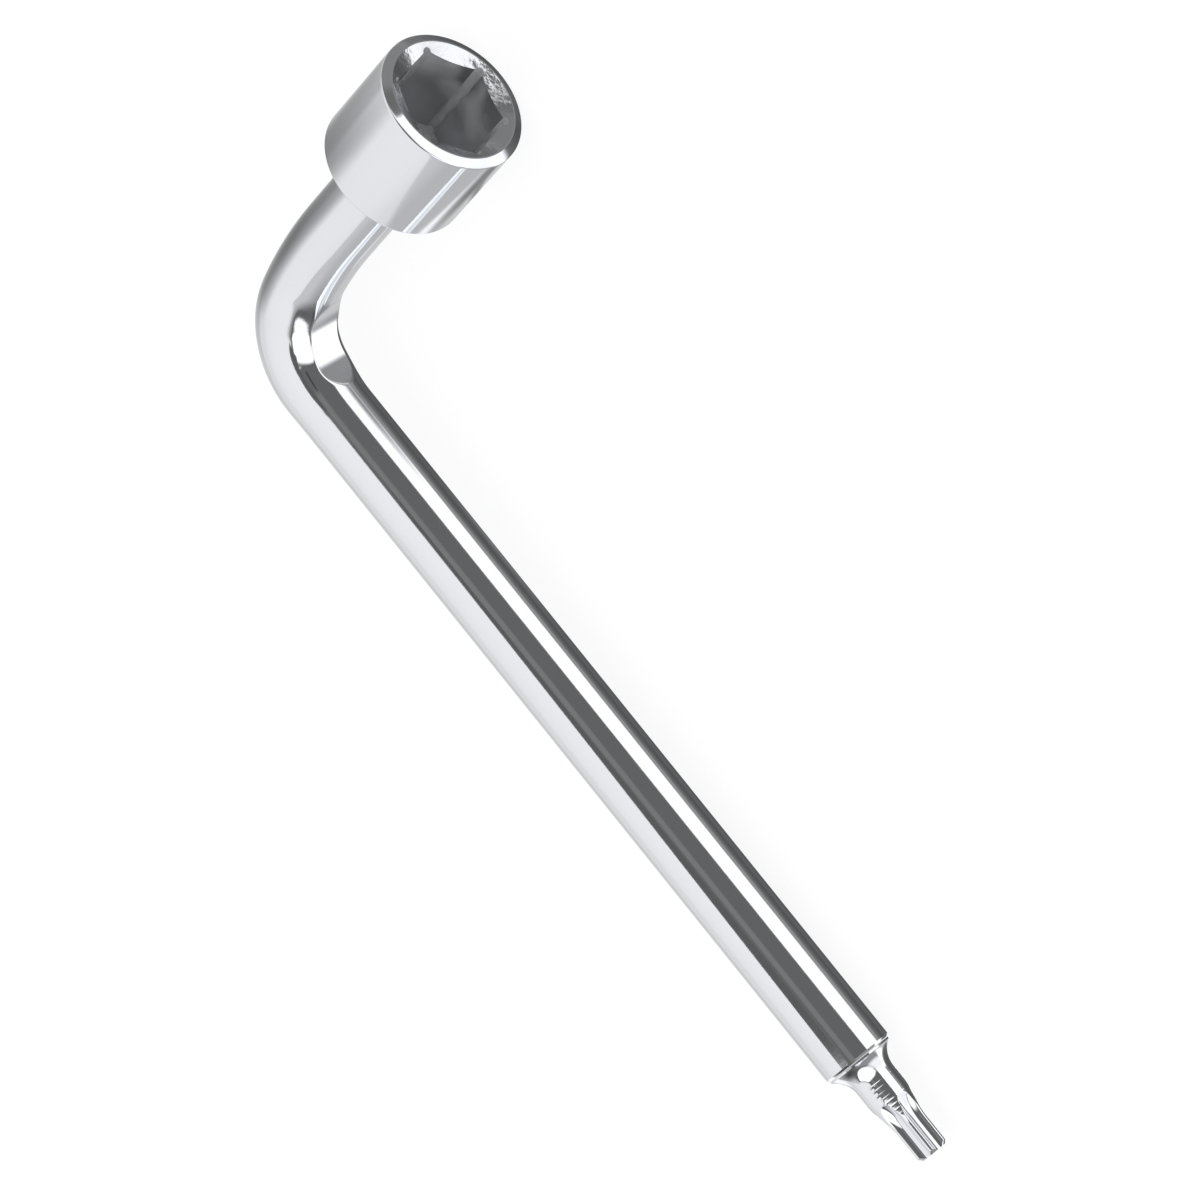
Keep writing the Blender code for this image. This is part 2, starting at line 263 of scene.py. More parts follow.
def barStations():  # centre line from bit to socket as (x, y, radius), with the swelling inside the bend
    bendAngle = math.pi / 2 - bar["leadAngle"]
    bendRadius, leadRadius = bar["bendRadius"], bar["leadRadius"]
    bendX = bendRadius * math.sin(bendAngle) + leadRadius * (1 - math.sin(bendAngle))
    bendLength, leadLength = bendRadius * bendAngle, leadRadius * bar["leadAngle"]
    ease = bar["ease"]
    step = bar["bendStep"]
    path = []
    x, y, angle, run = 0.0, 0.0, 0.0, -2 * ease
    while run < bendLength + leadLength + 2 * ease:
        begun = smoother(run / ease + 0.5)
        bent = smoother((run - bendLength) / ease + 0.5)
        done = smoother((run - bendLength - leadLength) / ease + 0.5)
        left = (bendLength / 2 + bar["swellReach"] - abs(run - bendLength / 2)) / bar["swellRun"]
        path.append((x, y, angle, bar["swell"] * smoother(left)))
        turn = step * ((begun - bent) / bendRadius + (bent - done) / leadRadius)
        x -= step * math.cos(angle + turn / 2)
        y += step * math.sin(angle + turn / 2)
        angle += turn
        run += step
    shift = -x  # the short arm stands on the tool's y axis
    barEnd = bitTip.x - bitLength - bar["seam"]
    fullEnd = barEnd - bar["chamfer"]
    stations = [(barEnd, 0.0, bar["radius"] - bar["chamfer"]), (fullEnd, 0.0, bar["radius"])]
    for i in range(1, bar["straightSteps"]):
        along = (path[0][0] + shift - fullEnd) * i / bar["straightSteps"]
        stations.append((fullEnd + along, 0.0, bar["radius"]))
    for x, y, angle, grown in path:
        middle = (x + shift + grown * math.sin(angle), y + grown * math.cos(angle))
        stations.append((middle[0], middle[1], bar["radius"] + grown))
    stations.append((0.0, socketRear - bar["seam"], bar["radius"]))
    reach = (bar["postRadius"] - bendRadius + bar["radius"]) / math.cos(bendAngle / 2) - bar["postSink"]
    post = (bendX + reach * math.sin(bendAngle / 2), bendRadius + reach * math.cos(bendAngle / 2))
    return stations, post


def barSweepTree():  # sweeps the bar and presses the bending post's imprint into it
    tree = newTree("bar_sweep", ["Sides", "Post X", "Post Y", "Post Radius", "Edge"])
    given = addNode(tree, "NodeGroupInput").outputs
    spot = addNode(tree, "GeometryNodeInputPosition").outputs[0]
    spine = addNode(tree, "GeometryNodeStoreNamedAttribute",
                    {"Geometry": given["Geometry"], "Name": "spine", "Value": spot},
                    data_type="FLOAT_VECTOR", domain="POINT").outputs[0]
    ring = addNode(tree, "GeometryNodeCurvePrimitiveCircle",
                   {"Resolution": given["Sides"], "Radius": 1.0}).outputs[0]
    radius = addNode(tree, "GeometryNodeInputRadius").outputs[0]
    swept = addNode(tree, "GeometryNodeCurveToMesh",
                    {"Curve": spine, "Profile Curve": ring, "Scale": radius, "Fill Caps": True}).outputs[0]
    centre = addNode(tree, "GeometryNodeInputNamedAttribute", {"Name": "spine"},
                     data_type="FLOAT_VECTOR").outputs[0]
    # each point lies on a ray from the centre line: where does the ray meet the post?
    vector, number = "ShaderNodeVectorMath", "ShaderNodeMath"
    arm = addNode(tree, vector, {0: spot, 1: centre}, operation="SUBTRACT").outputs[0]
    size = addNode(tree, vector, {0: arm}, operation="LENGTH").outputs["Value"]
    ray = addNode(tree, vector, {0: arm}, operation="NORMALIZE").outputs[0]
    flatRay = addNode(tree, vector, {0: ray, 1: (1.0, 1.0, 0.0)}, operation="MULTIPLY").outputs[0]
    post = addNode(tree, "ShaderNodeCombineXYZ", {0: given["Post X"], 1: given["Post Y"]}).outputs[0]
    offset = addNode(tree, vector, {0: centre, 1: post}, operation="SUBTRACT").outputs[0]
    a = addNode(tree, vector, {0: flatRay, 1: flatRay}, operation="DOT_PRODUCT").outputs["Value"]
    a = addNode(tree, number, {0: a, 1: 1e-6}, operation="MAXIMUM").outputs[0]
    b = addNode(tree, vector, {0: flatRay, 1: offset}, operation="DOT_PRODUCT").outputs["Value"]
    far = addNode(tree, vector, {0: offset, 1: offset}, operation="DOT_PRODUCT").outputs["Value"]
    near = given["Post Radius"]
    near = addNode(tree, number, {0: near, 1: near}, operation="MULTIPLY").outputs[0]
    c = addNode(tree, number, {0: far, 1: near}, operation="SUBTRACT").outputs[0]
    ac = addNode(tree, number, {0: a, 1: c}, operation="MULTIPLY").outputs[0]
    under = addNode(tree, number, {0: b, 1: b}, operation="MULTIPLY").outputs[0]
    under = addNode(tree, number, {0: under, 1: ac}, operation="SUBTRACT").outputs[0]
    missed = addNode(tree, number, {0: under, 1: 0.0}, operation="LESS_THAN").outputs[0]
    rising = addNode(tree, number, {0: b, 1: 0.0}, operation="GREATER_THAN").outputs[0]
    missed = addNode(tree, number, {0: missed, 1: rising}, operation="MAXIMUM").outputs[0]
    root = addNode(tree, number, {0: under, 1: 0.0}, operation="MAXIMUM").outputs[0]
    root = addNode(tree, number, {0: root}, operation="SQRT").outputs[0]
    hit = addNode(tree, number, {0: b, 1: root}, operation="ADD").outputs[0]
    hit = addNode(tree, number, {0: hit, 1: a}, operation="DIVIDE").outputs[0]
    hit = addNode(tree, number, {0: missed, 1: hit}, operation="SUBTRACT").outputs[0]  # far off if missed
    pressed = addNode(tree, number, {0: size, 1: hit, 2: given["Edge"]}, operation="SMOOTH_MIN").outputs[0]
    change = addNode(tree, number, {0: pressed, 1: size}, operation="SUBTRACT").outputs[0]
    move = addNode(tree, vector, {0: ray, "Scale": change}, operation="SCALE").outputs[0]
    shaped = addNode(tree, "GeometryNodeSetPosition", {"Geometry": swept, "Offset": move}).outputs[0]
    closeTree(tree, shaped, given["Material"])
    return tree


def makeBar():
    stations, post = barStations()
    curve = bpy.data.curves.new("bar_line", "CURVE")
    curve.dimensions = "3D"
    spline = curve.splines.new("POLY")
    spline.points.add(len(stations) - 1)
    for point, (x, y, radius) in zip(spline.points, stations):
        point.co = (x, y, 0.0, 1.0)
        point.radius = radius
    values = {
        "Sides": bar["sides"],
        "Post X": post[0],
        "Post Y": post[1],
        "Post Radius": bar["postRadius"],
        "Edge": bar["imprintEdge"],
        "Material": chrome,
    }
    piece = bakeTree(addObject("bar_line", curve), barSweepTree(), values, "bent_bar_visual", bar["crease"])
    bm = bmesh.new()
    bm.from_mesh(piece.data)
    corner = bar["tenonFlats"] / math.sqrt(3)
    low, high = socketRear - bar["tenonRoot"], socketRear + bar["tenonReach"]
    place = Matrix.Translation((0, (low + high) / 2, 0)) @ Matrix.Rotation(-math.pi / 2, 4, "X")
    turned = toolToRow @ place @ Matrix.Rotation(socket["clock"], 4, "Z")
    made = bmesh.ops.create_cone(bm, cap_ends=True, segments=6, radius1=corner, radius2=corner,
                                 depth=high - low, matrix=turned)
    for face in {face for vert in made["verts"] for face in vert.link_faces}:
        face.material_index = 1  # dull
    nearTop = high - bar["tenonChamfer"] / 2
    topEdges = {edge for vert in made["verts"] for edge in vert.link_edges
                if all((rowToTool @ end.co).y > nearTop for end in edge.verts)}
    bmesh.ops.bevel(bm, geom=list(topEdges), offset=bar["tenonChamfer"], segments=2, affect="EDGES")
    bm.to_mesh(piece.data)
    bm.free()
    piece.data.set_sharp_from_angle(angle=math.radians(bar["crease"]))
    piece.data.materials.append(dull)
    return piece


# hex socket

socketRear = socketLow.y - elbow.y
socket = {
    "radius": (socketHigh.x - socketLow.x) / 2,
    "length": socketHigh.y - socketLow.y,
    "flats": 13.2 * mm,
    "depth": 13.4 * mm,
    "clock": math.radians(12.7),
    "reliefRadius": 0.6 * mm,
    "mouthMargin": 0.9 * mm,
    "mouthSlope": math.radians(27.0),
    "rimFlat": 0.2 * mm,  # level ring round the countersink
    "rimDrop": 0.52 * mm,  # fall of the sloping rim from that ring to the side
    "rimEdge": 0.12 * mm,
    "rearRound": 0.3 * mm,
    "tenonFlats": 7.1 * mm,
    "columns": 720,
    "roundSteps": 6,
    "crease": 20,
}


def cornerOff(turn):  # signed turn from the nearest corner of a hexagon, which has one at every 60 degrees
    return (turn + math.pi / 6) % (math.pi / 3) - math.pi / 6


def hexRadius(flats, turn):  # distance to a hexagon's side
    return flats / 2 / math.cos(math.pi / 6 - abs(cornerOff(turn)))


def recessRadius(turn):  # hexagon with a round relief groove along each corner
    corner = socket["flats"] / math.sqrt(3)
    centre = corner - socket["reliefRadius"] / 2
    off = cornerOff(turn)
    under = socket["reliefRadius"] ** 2 - (centre * math.sin(off)) ** 2
    wall = hexRadius(socket["flats"], turn)
    return max(wall, centre * math.cos(off) + math.sqrt(under)) if under > 0 else wall


def socketColumn(turn):  # (radius, height) round the wall's section, from the tenon hole back to it
    radius, length = socket["radius"], socket["length"]
    mouth = socket["flats"] / math.sqrt(3) + socket["mouthMargin"]
    wall = recessRadius(turn - socket["clock"])
    lip = length - (mouth - wall) * math.tan(socket["mouthSlope"])
    floor = length - socket["depth"]
    hole = hexRadius(socket["tenonFlats"], turn - socket["clock"])
    rearRound, edge, steps = socket["rearRound"], socket["rimEdge"], socket["roundSteps"]
    rimFoot = length - socket["rimDrop"]
    ring = mouth + socket["rimFlat"]
    points = [(hole, 0.0)]
    for i in range(steps + 1):
        a = math.pi / 2 * i / steps
        points.append((radius - rearRound * (1 - math.sin(a)), rearRound * (1 - math.cos(a))))
    points.append((radius, rimFoot - 3 * edge))  # keeps the side's shading apart from the edge's
    corner, top = Vector((radius, rimFoot)), Vector((ring, length))
    below, above = Vector((radius, rimFoot - edge)), corner + (top - corner).normalized() * edge
    for i in range(steps + 1):  # worn edge between the side and the sloping rim
        share = i / steps
        spot = below * (1 - share) ** 2 + corner * 2 * share * (1 - share) + above * share ** 2
        points.append((spot.x, spot.y))
    apart = spot.lerp(top, 0.2)  # keeps the rim's apart too
    points += [(apart.x, apart.y), (ring, length)]
    points += [(mouth, length), (wall, lip), (wall, floor), (hole, floor)]
    return points


def makeSocket():
    columns = []
    for i in range(socket["columns"]):
        turn = 2 * math.pi * i / socket["columns"]
        column = [(r * math.sin(turn), socketRear + z, r * math.cos(turn)) for r, z in socketColumn(turn)]
        columns.append(column)
    bm = lofted(columns, True)
    bmesh.ops.recalc_face_normals(bm, faces=bm.faces)
    bm.transform(toolToRow)
    finishes = (chrome, dimpled, broached, dull)
    dullFinish = len(finishes) - 1
    count = len(columns[0])
    cone = count - 4  # the countersink, with the recess's wall, its floor and the tenon hole after it
    for i, face in enumerate(bm.faces):
        column, ring = divmod(i, count)
        face.material_index = min(max(ring - cone + 1, 0), dullFinish)
        turn = 2 * math.pi * (column + 0.5) / socket["columns"] - socket["clock"]
        if ring == cone + 1 and recessRadius(turn) > hexRadius(socket["flats"], turn):
            face.material_index = dullFinish  # relief grooves
    mesh = meshFrom(bm, "hex_socket_visual")
    smoothMesh(mesh, socket["crease"])
    for finish in finishes:
        mesh.materials.append(finish)
    return addObject("hex_socket_visual", mesh)


# six-lobe bit

bit = {
    "collarLand": 0.25 * mm,
    "collarRadius": 4.7 * mm,
    "flareRadius": 3.6 * mm,
    "neckRadius": 2.98 * mm,
    "neckLength": 2.45 * mm,
    "taperLength": 5.2 * mm,
    "crestLength": 4.2 * mm,
    "crestRadius": 2.49 * mm,
    "lobes": 6,
    "lobeHeight": 0.7 * mm,
    "lobeRadius": 0.39 * mm,
    "tipChamfer": 0.55 * mm,
    "ringPitch": 0.69 * mm,  # turning grooves left on the neck and the taper
    "ringDepth": 0.03 * mm,
    "ringShare": 0.45,
    "ringSpan": (3.6 * mm, 9.0 * mm),
    "ringFade": 0.85,  # share of the depth that is gone at the end of the span
    "ringUneven": 0.1,  # share by which the depth differs from groove to groove
    "ringBeat": 5.0,  # radians between two grooves
    "fluteLength": 4.2 * mm,
    "fluteEdge": 0.05 * mm,  # rounding where a flute meets the blank
    "runoutRadius": 9.4 * mm,
    "clock": math.radians(43.0),
    "columns": 360,
    "step": 0.07 * mm,
    "crease": 30,
}
flareRise = bit["flareRadius"] - bit["collarRadius"] + bit["neckRadius"]
flareRun = math.sqrt(bit["flareRadius"] ** 2 - flareRise ** 2)
flareTop = bit["collarLand"] + flareRun
taperStart = flareTop + bit["neckLength"]
bitLength = taperStart + bit["taperLength"] + bit["crestLength"]


def blankRadius(z):  # turned blank: collar, flare, neck, taper, crests, chamfered tip
    if z < bit["collarLand"]:
        return bit["collarRadius"]
    if z < flareTop:
        fall = math.sqrt(bit["flareRadius"] ** 2 - (flareTop - z) ** 2)
        return bit["neckRadius"] + bit["flareRadius"] - fall
    share = min(max((z - taperStart) / bit["taperLength"], 0.0), 1.0)
    radius = bit["neckRadius"] + (bit["crestRadius"] - bit["neckRadius"]) * share
    first, last = bit["ringSpan"]
    if first < z < last:
        count, groove = divmod((z - first) / bit["ringPitch"], 1.0)
        faded = 1.0 - bit["ringFade"] * (z - first) / (last - first)
        uneven = 1.0 - bit["ringUneven"] + bit["ringUneven"] * math.cos(bit["ringBeat"] * count)
        dip = 0.5 - 0.5 * math.cos(2 * math.pi * min(groove / bit["ringShare"], 1.0))
        radius -= bit["ringDepth"] * faded * uneven * dip
    return min(radius, bit["crestRadius"] - bit["tipChamfer"] + bitLength - z)


def fluteTree():  # presses the six-lobe form into the blank, with the arc on which the cutter lifts out
    sizes = ["Gap", "Clock", "Lobe Centre", "Lobe Radius", "Flute Centre", "Flute Radius", "Meet",
             "Lift Start", "Lift Radius", "Edge"]
    tree = newTree("bit_flutes", sizes)
    given = addNode(tree, "NodeGroupInput").outputs
    spot = addNode(tree, "GeometryNodeInputPosition").outputs[0]
    split = addNode(tree, "ShaderNodeSeparateXYZ", {0: spot}).outputs
    known = {size: given[size] for size in sizes}
    known.update(along=split[0], across=split[1], up=split[2])
    steps = [  # result, operation, then numbers and earlier results
        ("half", "MULTIPLY", "Gap", 0.5),
        ("turn", "ARCTAN2", "up", "across"),
        ("turn", "SUBTRACT", "turn", "Clock"),
        ("turn", "ADD", "turn", "half"),
        ("off", "WRAP", "turn", "Gap", 0.0),
        ("off", "SUBTRACT", "off", "half"),
        ("off", "ABSOLUTE", "off"),  # turn from the nearest lobe
        ("side", "SINE", "off"),
        ("side", "MULTIPLY", "side", "Lobe Centre"),
        ("side", "MULTIPLY", "side", "side"),
        ("under", "MULTIPLY", "Lobe Radius", "Lobe Radius"),
        ("under", "SUBTRACT", "under", "side"),
        ("under", "MAXIMUM", "under", 0.0),
        ("root", "SQRT", "under"),
        ("lobe", "COSINE", "off"),
        ("lobe", "MULTIPLY_ADD", "lobe", "Lobe Centre", "root"),  # far side of the lobe's circle
        ("gapOff", "SUBTRACT", "half", "off"),
        ("side", "SINE", "gapOff"),
        ("side", "MULTIPLY", "side", "Flute Centre"),
        ("side", "MULTIPLY", "side", "side"),
        ("under", "MULTIPLY", "Flute Radius", "Flute Radius"),
        ("under", "SUBTRACT", "under", "side"),
        ("under", "MAXIMUM", "under", 0.0),
        ("root", "SQRT", "under"),
        ("flute", "COSINE", "gapOff"),
        ("flute", "MULTIPLY", "flute", "Flute Centre"),
        ("flute", "SUBTRACT", "flute", "root"),  # near side of the flute's circle
        ("onFlute", "GREATER_THAN", "off", "Meet"),
        ("form", "SUBTRACT", "flute", "lobe"),
        ("form", "MULTIPLY_ADD", "form", "onFlute", "lobe"),
        ("back", "SUBTRACT", "Lift Start", "along"),
        ("back", "MAXIMUM", "back", 0.0),
        ("back", "DIVIDE", "back", "Lift Radius"),
        ("back", "MINIMUM", "back", 1.0),
        ("lift", "ARCSINE", "back"),
        ("lift", "COSINE", "lift"),
        ("lift", "SUBTRACT", 1.0, "lift"),
        ("form", "MULTIPLY_ADD", "lift", "Lift Radius", "form"),
        ("size", "MULTIPLY", "across", "across"),
        ("size", "MULTIPLY_ADD", "up", "up", "size"),
        ("size", "SQRT", "size"),
        ("cut", "SMOOTH_MIN", "size", "form", "Edge"),
        ("size", "MAXIMUM", "size", 1e-9),
        ("ratio", "DIVIDE", "cut", "size"),
        ("across", "MULTIPLY", "across", "ratio"),
        ("up", "MULTIPLY", "up", "ratio"),
    ]
    for name, kind, *args in steps:
        inputs = {i: known.get(arg, arg) for i, arg in enumerate(args)}
        known[name] = addNode(tree, "ShaderNodeMath", inputs, operation=kind).outputs[0]
    place = addNode(tree, "ShaderNodeCombineXYZ",
                    {0: known["along"], 1: known["across"], 2: known["up"]}).outputs[0]
    shaped = addNode(tree, "GeometryNodeSetPosition",
                     {"Geometry": given["Geometry"], "Position": place}).outputs[0]
    closeTree(tree, shaped, given["Material"])
    return tree


def makeBit():
    stops = [0.0, bit["collarLand"], taperStart, bitLength - bit["crestLength"],
             bitLength - bit["tipChamfer"], bitLength]
    heights = [0.0]
    for low, high in zip(stops, stops[1:]):
        steps = math.ceil((high - low) / bit["step"])
        heights += [low + (high - low) * i / steps for i in range(1, steps + 1)]
    start = bitTip.x - bitLength
    rings = [(start + z, blankRadius(z)) for z in heights]
    columns = []
    for i in range(bit["columns"]):
        turn = 2 * math.pi * i / bit["columns"]
        columns.append([(x, r * math.cos(turn), r * math.sin(turn)) for x, r in rings])
    bm = lofted(columns, False)
    bmesh.ops.holes_fill(bm, edges=[edge for edge in bm.edges if edge.is_boundary])
    bmesh.ops.recalc_face_normals(bm, faces=bm.faces)
    blank = addObject("bit_blank", meshFrom(bm, "bit_blank"))
    halfGap = math.pi / bit["lobes"]
    lobeCentre = bit["crestRadius"] - bit["lobeRadius"]
    floor = bit["crestRadius"] - bit["lobeHeight"]
    pull = lobeCentre * math.cos(halfGap)
    span = lobeCentre ** 2 + floor ** 2 - 2 * pull * floor - bit["lobeRadius"] ** 2
    fluteRadius = span / (2 * (pull + bit["lobeRadius"] - floor))
    fluteCentre = floor + fluteRadius
    share = bit["lobeRadius"] / (bit["lobeRadius"] + fluteRadius)  # where lobe and flute meet
    meetX = lobeCentre + share * (fluteCentre * math.cos(halfGap) - lobeCentre)
    meetY = share * fluteCentre * math.sin(halfGap)
    values = {
        "Gap": 2 * halfGap,
        "Clock": bit["clock"],
        "Lobe Centre": lobeCentre,
        "Lobe Radius": bit["lobeRadius"],
        "Flute Centre": fluteCentre,
        "Flute Radius": fluteRadius,
        "Meet": math.atan2(meetY, meetX),
        "Lift Start": bitTip.x - bit["fluteLength"],
        "Lift Radius": bit["runoutRadius"],
        "Edge": bit["fluteEdge"],
        "Material": chrome,
    }
    return bakeTree(blank, fluteTree(), values, "six_lobe_bit_visual", bit["crease"])


pieces = [(makeBar(), "bent_bar", "bar_chrome"), (makeSocket(), "hex_socket", "socket_chrome"),
          (makeBit(), "six_lobe_bit", "bit_chrome")]
for piece, node, slot in pieces:
    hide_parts(node)
    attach(piece, "root")
    print("piece", piece.name, len(piece.data.polygons), "faces")


# camera at the photograph's angle, on the tool's axes in mm

cameraSet = {
    "place": (114.85, 495.2, 460.3),
    "right": (0.6254, 0.5003, -0.5990),
    "up": (-0.7756, 0.4832, -0.4060),
    "lens": 157.5,
    "sensor": 36.0,
    "clip": (10.0, 20000.0),
}


def makeCamera():
    right = Vector(cameraSet["right"]).normalized()
    up = Vector(cameraSet["up"])
    up = (up - right * up.dot(right)).normalized()
    back = right.cross(up)
    turn = Matrix((right, up, back)).transposed().to_4x4()
    near, far = cameraSet["clip"]
    lens = bpy.data.cameras.new("camera")
    lens.lens = cameraSet["lens"]
    lens.sensor_width = cameraSet["sensor"]
    lens.clip_end = far * mm
    lens.clip_start = near * mm
    camera = addObject("camera", lens)
    camera.matrix_world = toolToRow @ Matrix.Translation(Vector(cameraSet["place"]) * mm) @ turn
    bpy.context.scene.camera = camera


makeCamera()
bpy.context.scene.view_settings.view_transform = "Standard"
print("camera ready")


# studio: white room, pale floor, and cards that only the chrome sees
# directions are (turn from the long arm toward the short arm, height), in degrees

boxCorners = [(12, 60), (3, 56), (-8, 52.5), (-17, 49.5), (-21.5, 46), (-19, 40.5), (-14.5, 33), (-10, 23),
              (-6, 13), (0, 9), (50, 9), (56, 25), (54, 36), (49, 46), (42, 55), (35.5, 60), (26, 62)]
studio = {
    "floorColour": "fafafa",
    "floorReach": 3000,  # mm
    "floorWhite": 1.06,  # glow that the camera sees in place of the lit floor
    "floorShare": 0.8,  # by this share, so that the shadow stays
    "roomLight": 1.0,  # soft light on anything dull
    "roomTop": 1.2,  # level at which the room's ramp is white
    "room": [(0.0, 0.14), (0.02, 0.10), (0.055, 0.13), (0.10, 0.19), (0.145, 0.20), (0.165, 0.32),
             (0.19, 1.05), (0.22, 1.15), (0.50, 1.10), (0.53, 0.88), (0.60, 0.83), (0.70, 0.86),
             (0.78, 0.95), (1.0, 1.02)],  # levels from straight down to straight up
    "panels": {  # areas with soft sides: turn, height, softness of sides, foot and head, level
        "north_dark": ((49, 121), (6, 77), (4, 3, 6), 0.145),
        "grey_strip": ((72, 126), (51, 66), (8, 7, 7), 0.22),
        "north_white": ((60, 112), (-38, 5), (12, 7, 2), 1.35),
        "west_dark": ((107, 168), (-34, 2.5), (3, 8, 3), 0.17),
        "west_low": ((-172, -98), (-48, 4), (16, 4, 10), 0.62),
        "south_grey": ((-110, -75), (-40, 2), (8, 6, 4), 0.7),
        "east_grey": ((-53.5, -18), (-50, 50), (3, 10, 10), 0.56),
        "east_grey_high": ((-53.5, -18), (19, 50), (3, 16, 10), 0.66),
        "east_low": ((-110, -14), (-52, -30), (10, 4, 8), 0.65),
        "gap_grey": ((-34, 20), (-34, 10), (18, 6, 6), 0.33),
        "frame_top": ((-10, 40), (48, 66), (14, 6, 8), 0.16),
        "frame_left": ((-32, 14), (4, 54), (28, 8, 8), 0.16),
        "pad_grey": ((60, 104), (-51, -39), (14, 6, 3), 0.33),
        "pad_white": ((-16, 70), (-51, -36), (16, 8, 6), 1.4),
    },
    "plating_and_highlight_patches": {  # soft round areas: direction, inner and outer angle, level
        "north_west_dark": ((142, -24), 17, 27, 0.26),
        "dark_spot": ((69.5, 54), 0.8, 3.4, 0.04),
    },
    "middle": (40, 5, 0),  # point of the tool from which a card's directions run, if it names none
    "cards": {  # flat cards, which fade between two scales of their corners, about their heart or centre
        "near_dark": {"facing": (0, 90), "distance": 200, "level": 0.12, "fade": (0.97, 1.03),
                      "corners": [(125, 73), (43, 83), (-23, 69), (-28, 64), (28, 64), (74, 70), (115, 65)]},
        "soft_box": {"from": (8, 5, 4), "facing": (18, 35), "distance": 455, "level": 1.5,
                     "fade": (0.86, 1.14), "heart": (-6, 38), "corners": boxCorners},
        "box_frame": {"from": (8, 5, 4), "facing": (18, 35), "distance": 457, "level": 0.13,
                      "fade": (1.15, 1.5),
                      "corners": [(turn, max(height, 22)) for turn, height in boxCorners]},
    },
    "scrims": {  # soft dark ovals near the tool: from, facing, distance, offset, half sizes in mm, level
        "west_scrim": ((-4, 34, 6), (-134, -3), 120, (16, -6), (52, 130), 0.22),
        "east_scrim": ((5, 45, 5), (-57, -41), 79, (0, 0), (18, 22), 0.2),
        "stripe_scrim": ((16, 5, 1), (97, -32), 30, (0, 0), (18, 10), 0.3),
        "bit_scrim": ((124, 0, 2), (-31, 4), 60, (0, 0), (34, 46), 0.07),
    },
}


def aim(turn, height):  # unit vector on the tool's axes
    turn, height = math.radians(turn), math.radians(height)
    return Vector((math.cos(turn) * math.cos(height), math.sin(turn) * math.cos(height), math.sin(height)))


def makeWorld():  # camera sees white, chrome sees the room, the rest is even soft light
    world = bpy.data.worlds.new("studio_room")
    world.use_nodes = True
    tree = world.node_tree
    tree.nodes.clear()
    number = "ShaderNodeMath"
    look = addNode(tree, "ShaderNodeTexCoord").outputs["Generated"]
    look = addNode(tree, "ShaderNodeVectorRotate", {"Vector": look, "Angle": -tilt},
                   rotation_type="Y_AXIS").outputs[0]
    way = addNode(tree, "ShaderNodeSeparateXYZ", {0: look}).outputs
    share = addNode(tree, "ShaderNodeMapRange",
                    {"Value": way[2], "From Min": -1.0, "From Max": 1.0}).outputs[0]
    ramp = addNode(tree, "ShaderNodeValToRGB", {0: share})
    stops = ramp.color_ramp.elements
    for i, (spot, level) in enumerate(studio["room"]):
        stop = stops[i] if i < 2 else stops.new(spot)
        stop.position = spot
        stop.color = [level / studio["roomTop"]] * 3 + [1.0]
    room = addNode(tree, number, {0: ramp.outputs[0], 1: studio["roomTop"]}, operation="MULTIPLY").outputs[0]
    turn = addNode(tree, number, {0: way[1], 1: way[0]}, operation="ARCTAN2").outputs[0]
    rise = addNode(tree, number, {0: way[2]}, operation="ARCSINE").outputs[0]
    for (left, right), (foot, head), (sideSoft, footSoft, headSoft), level in studio["panels"].values():
        middle, half = math.radians((left + right) / 2), (right - left) / 2
        off = addNode(tree, number, {0: turn, 1: middle}, operation="SUBTRACT").outputs[0]
        off = addNode(tree, number, {0: off, 1: math.pi, 2: -math.pi}, operation="WRAP").outputs[0]
        off = addNode(tree, number, {0: off}, operation="ABSOLUTE").outputs[0]
        inside = 1.0
        for value, outer, inner in ((off, half + sideSoft / 2, half - sideSoft / 2),
                                    (rise, foot - footSoft / 2, foot + footSoft / 2),
                                    (rise, head + headSoft / 2, head - headSoft / 2)):
            edge = addNode(tree, "ShaderNodeMapRange",
                           {"Value": value, "From Min": math.radians(outer), "From Max": math.radians(inner)},
                           interpolation_type="SMOOTHSTEP").outputs[0]
            inside = addNode(tree, number, {0: edge, 1: inside}, operation="MULTIPLY").outputs[0]
        room = addNode(tree, "ShaderNodeMix", {0: inside, 2: room, 3: level}).outputs[0]
    for centre, inner, outer, level in studio["plating_and_highlight_patches"].values():
        near = addNode(tree, "ShaderNodeVectorMath", {0: look, 1: aim(*centre)},
                       operation="DOT_PRODUCT").outputs["Value"]
        outer, inner = math.cos(math.radians(outer)), math.cos(math.radians(inner))
        inside = addNode(tree, "ShaderNodeMapRange", {"Value": near, "From Min": outer, "From Max": inner},
                         interpolation_type="SMOOTHSTEP").outputs[0]
        room = addNode(tree, "ShaderNodeMix", {0: inside, 2: room, 3: level}).outputs[0]
    path = addNode(tree, "ShaderNodeLightPath").outputs
    shiny = addNode(tree, number, {0: path["Is Glossy Ray"], 1: path["Is Transmission Ray"]},
                    operation="MAXIMUM").outputs[0]
    level = addNode(tree, "ShaderNodeMix", {0: shiny, 2: studio["roomLight"], 3: room}).outputs[0]
    level = addNode(tree, "ShaderNodeMix", {0: path["Is Camera Ray"], 2: level, 3: 1.0}).outputs[0]
    white = (1.0, 1.0, 1.0, 1.0)
    back = addNode(tree, "ShaderNodeBackground", {"Color": white, "Strength": level}).outputs[0]
    addNode(tree, "ShaderNodeOutputWorld", {0: back})
    bpy.context.scene.world = world


def emptyMaterial(name):
    material = bpy.data.materials.new(name)
    material.use_nodes = True
    material.node_tree.nodes.clear()
    return material


